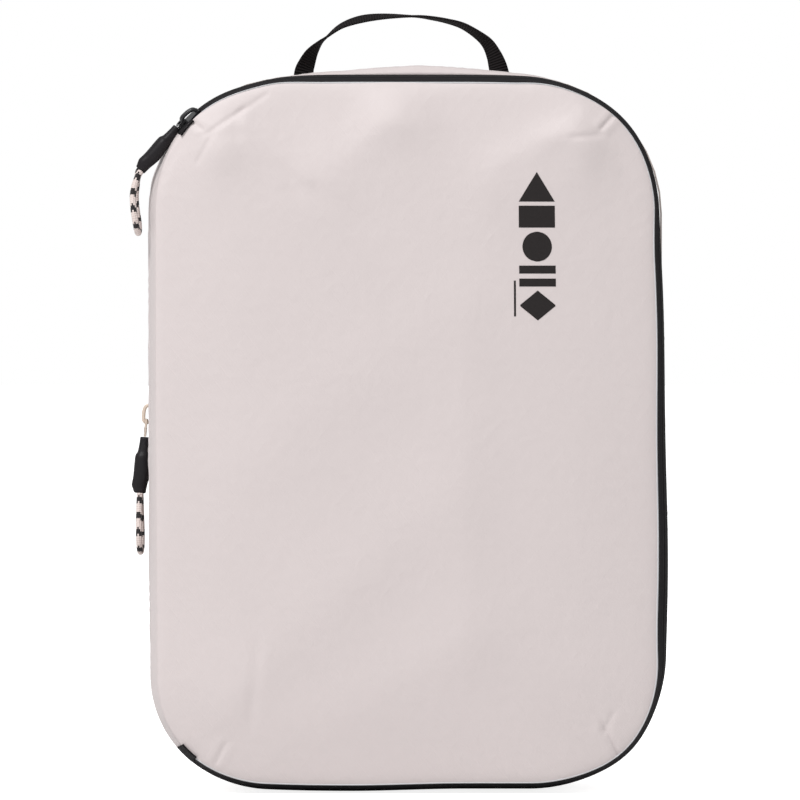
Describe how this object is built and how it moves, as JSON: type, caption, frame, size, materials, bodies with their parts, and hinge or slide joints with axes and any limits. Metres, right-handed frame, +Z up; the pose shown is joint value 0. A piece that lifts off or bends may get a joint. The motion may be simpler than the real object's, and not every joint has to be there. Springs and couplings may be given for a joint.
{
  "type": "packing cube",
  "caption": "Soft rounded compression packing cube with a zipped domed lid, a second zip round its gusset, cord pulls and a webbing handle.",
  "frame": {"origin": "middle of the flat bottom of the back gusset, on the surface that the cube stands on", "axes": "+Z up along the cube's height, +Y from the lid to the back panel, +X to the right as seen from the lid side"},
  "size_m": [0.2695, 0.0816, 0.3965],
  "materials": {
    "shell_cloth": "smooth off-white ripstop nylon with a slight sheen",
    "seam_binding": "off-white woven binding tape",
    "cream_zip_tape": "off-white woven zip tape and nylon coil",
    "black_zip_tape": "black woven zip tape and nylon coil",
    "black_enamel": "black enamel on die-cast zinc",
    "cream_enamel": "cream enamel on die-cast zinc",
    "grip_rubber": "black moulded grip, satin",
    "cord_braid": "off-white braided cord with black tracer marks",
    "black_webbing": "black ribbed polyester webbing"
  },
  "bodies": {
    "back_half": {"back_panel": "shell_cloth", "back_gusset": "shell_cloth", "back_seam_binding": "seam_binding", "compression_zip_back_coil": "cream_zip_tape", "compression_zip_back_tape": "cream_zip_tape", "expansion_gusset": "shell_cloth", "handle_left_anchor": "black_webbing", "handle_right_anchor": "black_webbing"},
    "front_half": {"compression_zip_front_coil": "cream_zip_tape", "compression_zip_front_tape": "cream_zip_tape", "front_gusset": "shell_cloth", "front_seam_binding": "seam_binding", "hinge_side_gusset": "shell_cloth", "lid_hinge_strip": "shell_cloth", "main_zip_body_coil": "black_zip_tape", "main_zip_body_tape": "black_zip_tape", "main_zip_bottom_end_tab": "black_zip_tape", "main_zip_top_end_tab": "black_zip_tape"},
    "lid": {"lid_panel": "shell_cloth", "lid_seam_binding": "seam_binding", "main_zip_lid_coil": "black_zip_tape", "main_zip_lid_tape": "black_zip_tape"},
    "main_slider": {"main_slider_body": "black_enamel", "main_slider_bridge": "black_enamel"},
    "main_pull": {"main_pull_tab": "black_enamel", "main_pull_grip": "grip_rubber", "main_pull_cord": "cord_braid"},
    "compression_slider": {"compression_slider_body": "cream_enamel", "compression_slider_bridge": "cream_enamel"},
    "compression_pull": {"compression_pull_tab": "cream_enamel", "compression_pull_grip": "grip_rubber", "compression_pull_cord": "cord_braid"},
    "handle": {"handle_webbing": "black_webbing"}
  },
  "joints": [
    {"name": "compression_travel", "type": "slide", "parent": "back_half", "child": "front_half", "axis": [0, -1, 0], "range_m": [0, 0.044], "deforming": ["expansion_gusset"]},
    {"name": "lid_opening", "type": "hinge", "parent": "front_half", "child": "lid", "pos_m": [-0.1135, -0.0396, 0.178], "axis": [0, 0, -1], "range_deg": [0, 120]},
    {"name": "main_slider_travel", "type": "hinge", "parent": "front_half", "child": "main_slider", "pos_m": [-0.06, -0.032, 0.292], "axis": [0, 1, 0], "range_deg": [0, 45]},
    {"name": "main_pull_swing", "type": "hinge", "parent": "main_slider", "child": "main_pull", "pos_m": [-0.11234, -0.03296, 0.3392], "axis": [-0.2261, 0.9482, 0.223], "range_deg": [0, 110]},
    {"name": "compression_slider_travel", "type": "slide", "parent": "back_half", "child": "compression_slider", "axis": [0, 0, 1], "range_m": [0, 0.09]},
    {"name": "compression_pull_swing", "type": "hinge", "parent": "compression_slider", "child": "compression_pull", "pos_m": [-0.13255, -0.01, 0.18748], "axis": [0, 1, 0], "range_deg": [0, 110]},
    {"name": "handle_fold", "type": "hinge", "parent": "back_half", "child": "handle", "pos_m": [0, 0.012, 0.3646], "axis": [1, 0, 0], "range_deg": [-70, 70]}
  ]
}
